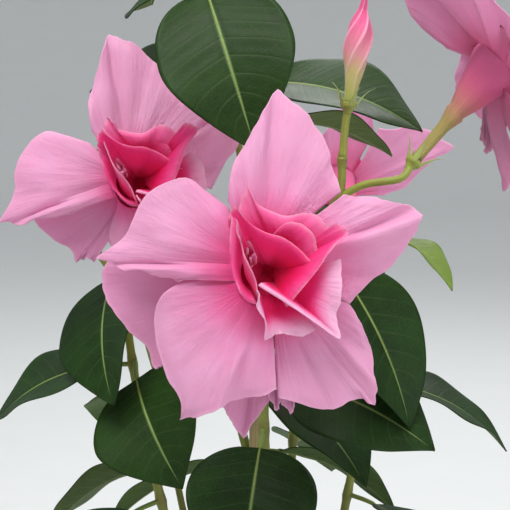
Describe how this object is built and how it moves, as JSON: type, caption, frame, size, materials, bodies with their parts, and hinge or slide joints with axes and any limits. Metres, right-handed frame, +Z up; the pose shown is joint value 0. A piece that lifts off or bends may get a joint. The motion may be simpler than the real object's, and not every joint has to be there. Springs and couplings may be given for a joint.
{
  "type": "potted mandevilla",
  "caption": "Climbing plant with double trumpet flowers, buds and glossy leaves on twining stems round a cane, rooted in soil in a plain clay pot that stands on its foot.",
  "frame": {"origin": "middle of the flat underside of the pot's foot, on the surface that the pot stands on", "axes": "+Z up along the pot's axis; -Y is the front, where the largest flower faces; +X is to the right seen from the front"},
  "size_m": [0.1986, 0.2195, 0.4013],
  "materials": {
    "clay": "unglazed fired clay",
    "earth": "damp potting soil",
    "bamboo": "dry split cane",
    "stem_green": "smooth green stem",
    "leaf_green": "glossy leaf",
    "young_green": "soft young leaf",
    "petal_pink": "satin petal",
    "bud_pink": "satin closed petals"
  },
  "bodies": {
    "root": {"pot": "clay", "soil": "earth", "cane": "bamboo", "vine_twining": "stem_green", "shoot_front": "stem_green", "shoot_left": "stem_green", "shoot_back": "stem_green", "shoot_right": "stem_green", "shoot_rear_left": "stem_green", "leaf_vine_1": "leaf_green", "leaf_vine_2": "leaf_green", "leaf_vine_3": "leaf_green", "leaf_vine_4": "leaf_green", "leaf_vine_5": "leaf_green", "leaf_vine_6": "leaf_green", "leaf_vine_7": "leaf_green", "leaf_vine_8": "leaf_green", "leaf_vine_9": "leaf_green", "leaf_vine_10": "leaf_green", "leaf_vine_11": "leaf_green", "leaf_vine_12": "leaf_green", "leaf_vine_13": "leaf_green", "leaf_vine_14": "leaf_green", "leaf_vine_15": "leaf_green", "leaf_vine_16": "leaf_green", "leaf_vine_17": "leaf_green", "leaf_front_1": "leaf_green", "leaf_front_2": "leaf_green", "leaf_front_3": "leaf_green", "leaf_front_4": "leaf_green", "leaf_front_5": "leaf_green", "leaf_front_6": "leaf_green", "leaf_front_7": "leaf_green", "leaf_left_1": "leaf_green", "leaf_left_2": "leaf_green", "leaf_left_3": "leaf_green", "leaf_left_4": "leaf_green", "leaf_left_5": "leaf_green", "leaf_back_1": "leaf_green", "leaf_back_2": "leaf_green", "leaf_back_3": "leaf_green", "leaf_back_4": "leaf_green", "leaf_right_1": "young_green", "leaf_right_2": "young_green", "leaf_right_3": "leaf_green", "leaf_right_4": "leaf_green", "leaf_right_5": "leaf_green", "leaf_rear_left_1": "leaf_green", "leaf_rear_left_2": "leaf_green", "leaf_rear_left_3": "leaf_green", "corolla_front": "petal_pink", "corolla_left": "petal_pink", "corolla_right": "petal_pink", "corolla_back": "petal_pink", "bud_front": "bud_pink", "bud_left": "bud_pink", "bud_back": "bud_pink", "bud_rear_left": "bud_pink"}
  },
  "joints": []
}
